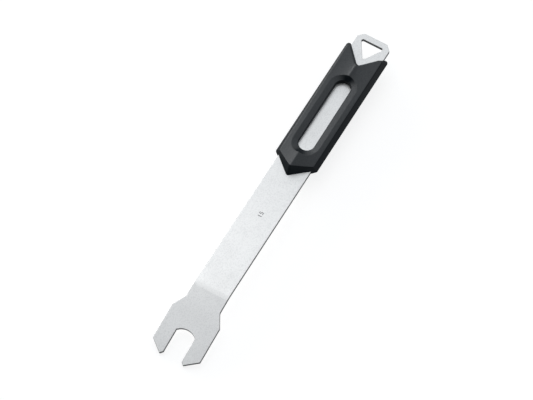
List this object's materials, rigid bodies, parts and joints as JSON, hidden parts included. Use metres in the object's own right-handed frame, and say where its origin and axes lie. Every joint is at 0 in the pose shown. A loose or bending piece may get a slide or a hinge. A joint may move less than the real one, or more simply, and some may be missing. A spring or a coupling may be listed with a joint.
{
  "type": "pedal wrench",
  "caption": "Flat steel pedal wrench for 15 mm flats: forked head bent slightly down, straight shank, black moulded grip with a window, cut-cornered tail with a three-cornered hanging hole.",
  "frame": {"origin": "centre of the bounding box's underside: under the middle of the wrench, at the height of the head's tips", "axes": "+X along the shank from the jaw towards the tail, +Y across the blade, +Z out of the shank's upper face, away from the side the head is bent to"},
  "size_m": [0.2894, 0.038, 0.0219],
  "materials": {
    "steel": "satin, finely blasted",
    "grip": "semi-matt moulded"
  },
  "bodies": {
    "root": {"blade": "steel", "grip": "grip"}
  },
  "joints": []
}
